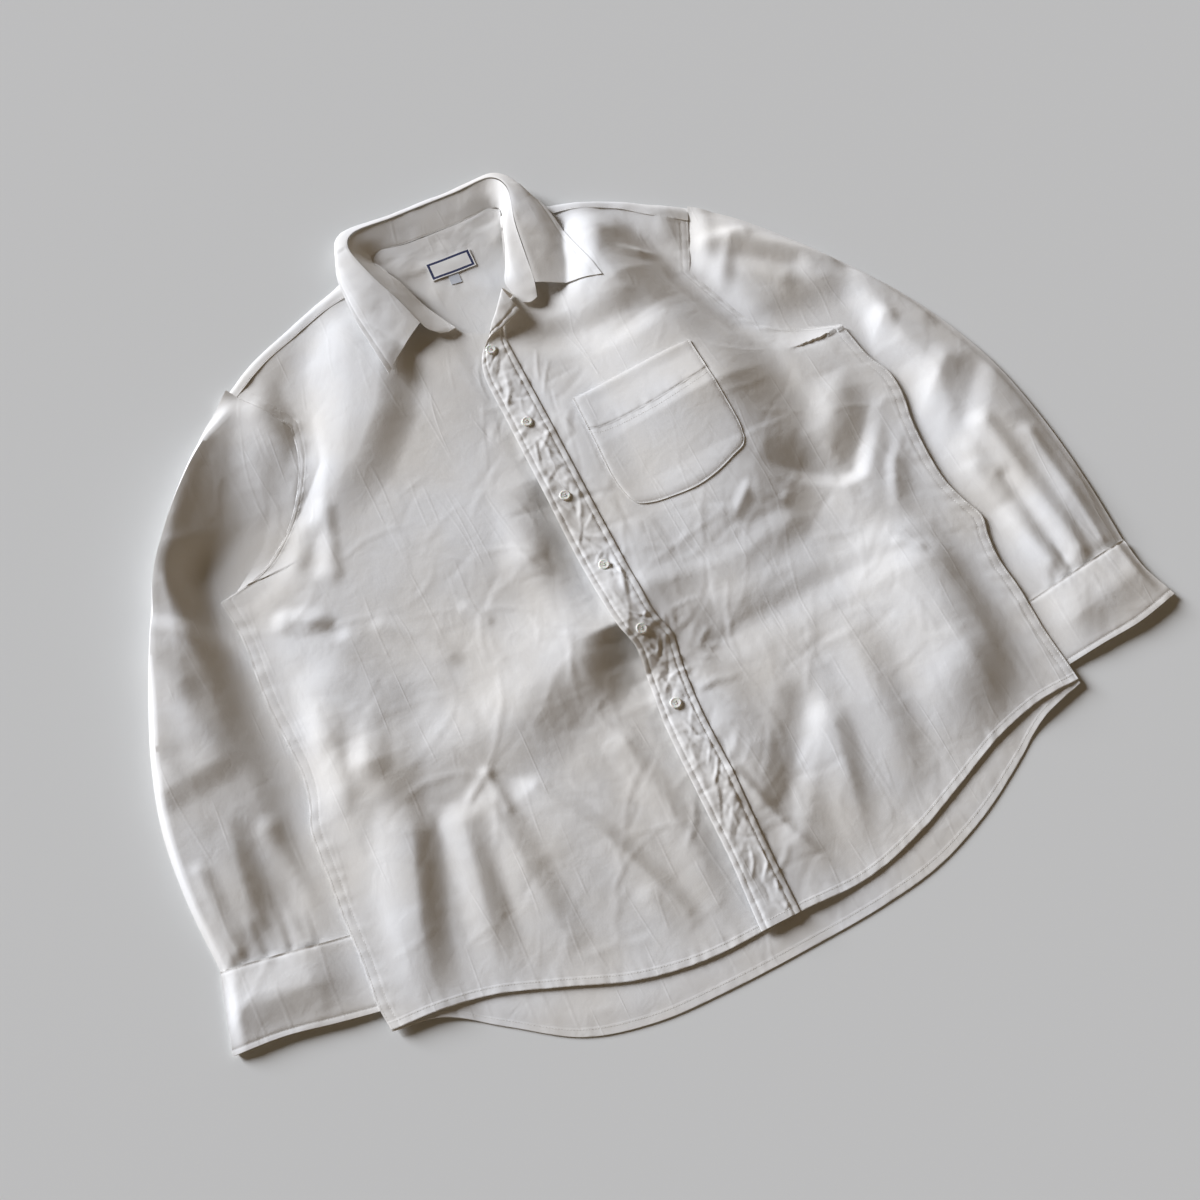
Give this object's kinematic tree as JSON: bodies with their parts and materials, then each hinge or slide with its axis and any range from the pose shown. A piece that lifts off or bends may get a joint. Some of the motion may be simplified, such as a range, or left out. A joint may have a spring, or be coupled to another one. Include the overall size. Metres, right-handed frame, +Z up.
{
  "type": "crumpled long-sleeved button-up shirt, laid flat",
  "caption": "White cotton button-up shirt laid flat and lightly crumpled, with a turned-down collar, chest pocket, placket with pearly buttons, and curved hems.",
  "frame": {"origin": "centre of the laid-out shirt's outline, on the surface that it rests on", "axes": "+Z up from the surface, +Y from the hem to the collar, +X to the wearer's left"},
  "size_m": [0.942, 0.8591, 0.0324],
  "materials": {
    "poplin": "white cotton poplin, fine plain weave, matt with a faint sheen",
    "button_pearl": "pearly white polyester, glossy",
    "label_satin": "bare woven white label tape"
  },
  "bodies": {
    "root": {"back": "poplin", "yoke": "poplin", "front_right": "poplin", "front_left": "poplin", "placket": "poplin", "pocket": "poplin", "sleeve_right": "poplin", "sleeve_left": "poplin", "cuff_right": "poplin", "cuff_left": "poplin", "collar_stand": "poplin", "collar": "poplin", "label": "label_satin", "size_tab": "label_satin", "button_1": "button_pearl", "button_2": "button_pearl", "button_3": "button_pearl", "button_4": "button_pearl", "button_5": "button_pearl", "button_6": "button_pearl"}
  },
  "joints": []
}
